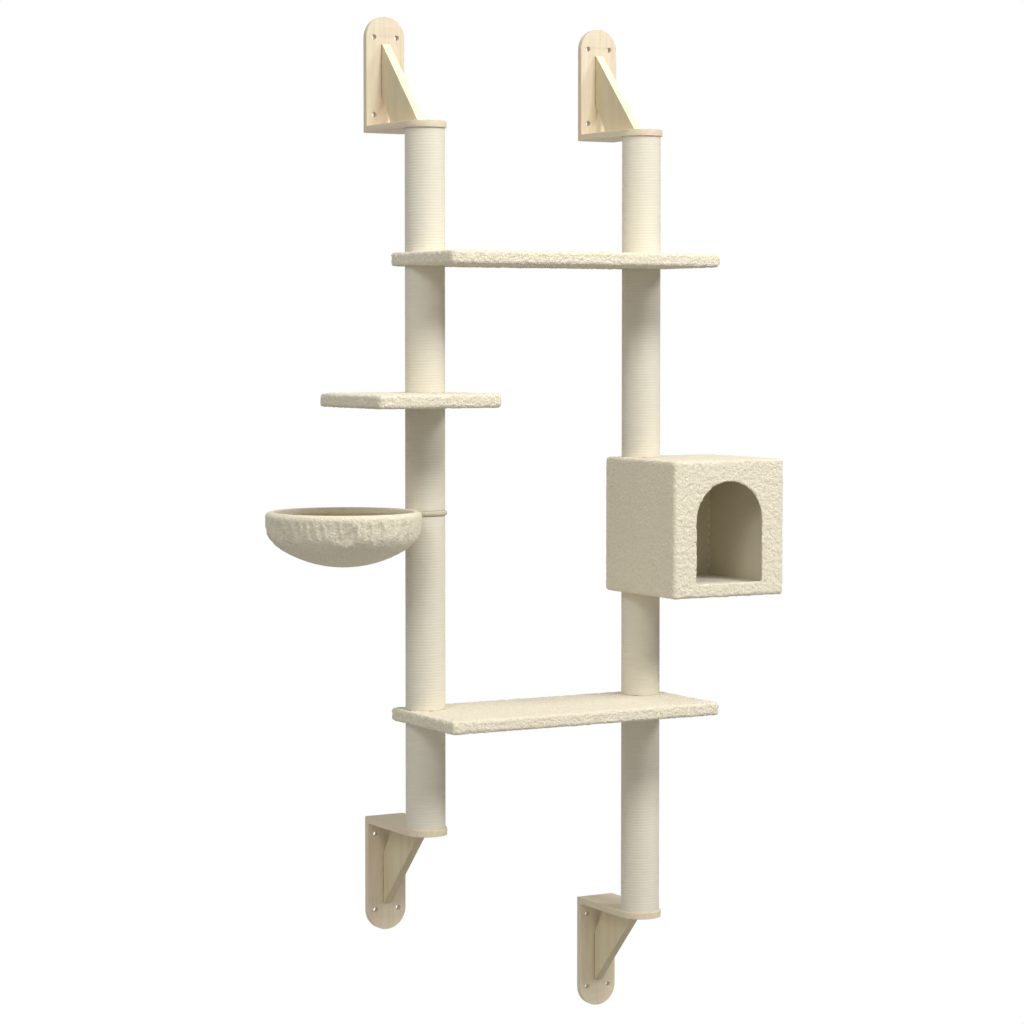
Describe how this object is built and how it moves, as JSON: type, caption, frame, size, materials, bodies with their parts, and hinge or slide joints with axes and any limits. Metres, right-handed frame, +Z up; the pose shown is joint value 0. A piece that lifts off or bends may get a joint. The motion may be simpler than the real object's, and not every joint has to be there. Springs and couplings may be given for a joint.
{
  "type": "wall mounted cat tree",
  "caption": "Cat climbing frame that screws to a wall: rope-wound posts on wooden brackets carry plush boards, a plush house with an arched door, and a swivelling hammock bowl",
  "frame": {"origin": "the middle of the four wall-screw holes of the upper left wall plate, on the plate's back face, which is the wall plane", "axes": "+Z up along the posts, -Y out of the wall towards the room, +X to the right as seen from the room"},
  "size_m": [0.9308, 0.355, 1.82],
  "materials": {
    "plywood": "bare sanded light plywood, fine straight grain, slightly matt",
    "rope": "cream twisted rope wound tight, matt",
    "paper_tube": "spiral-wound brown paper tube, matt",
    "softwood": "turned softwood, unfinished",
    "chipboard": "raw chipboard, flaked, matt",
    "plush": "cream short-pile plush, soft and matt with a light sheen",
    "painted_steel": "off-white powder coat, satin",
    "zinc_steel": "bright zinc plate"
  },
  "bodies": {
    "stand": {"bracket_screws": "zinc_steel", "frame_bolts": "zinc_steel", "hammock_bush": "zinc_steel", "house_cover": "plush", "house_floor": "chipboard", "house_front_wall": "chipboard", "house_left_wall": "chipboard", "house_lining": "plush", "house_rear_wall": "chipboard", "house_right_wall": "chipboard", "house_roof": "chipboard", "left_post_plugs": "softwood", "left_rope_wrap_1": "rope", "left_rope_wrap_2": "rope", "left_rope_wrap_3": "rope", "left_rope_wrap_4": "rope", "left_rope_wrap_5": "rope", "left_tube_1": "paper_tube", "left_tube_2": "paper_tube", "left_tube_3": "paper_tube", "left_tube_4": "paper_tube", "left_tube_5": "paper_tube", "lower_board_core": "chipboard", "lower_board_cover": "plush", "lower_left_gusset": "plywood", "lower_left_shelf": "plywood", "lower_left_wall_plate": "plywood", "lower_right_gusset": "plywood", "lower_right_shelf": "plywood", "lower_right_wall_plate": "plywood", "post_studs": "zinc_steel", "right_post_plugs": "softwood", "right_rope_wrap_1": "rope", "right_rope_wrap_2": "rope", "right_rope_wrap_3": "rope", "right_rope_wrap_4": "rope", "right_tube_1": "paper_tube", "right_tube_2": "paper_tube", "right_tube_3": "paper_tube", "right_tube_4": "paper_tube", "small_board_core": "chipboard", "small_board_cover": "plush", "top_board_core": "chipboard", "top_board_cover": "plush", "upper_left_gusset": "plywood", "upper_left_shelf": "plywood", "upper_left_wall_plate": "plywood", "upper_right_gusset": "plywood", "upper_right_shelf": "plywood", "upper_right_wall_plate": "plywood"},
    "hammock": {"hammock_hoop": "painted_steel", "hammock_bowl": "plush", "hammock_collar": "plush"}
  },
  "joints": [
    {"name": "hammock_swivel", "type": "hinge", "parent": "stand", "child": "hammock", "pos_m": [0, -0.16, -0.7685], "axis": [0, 0, 1], "range_deg": [-15, 175]}
  ]
}
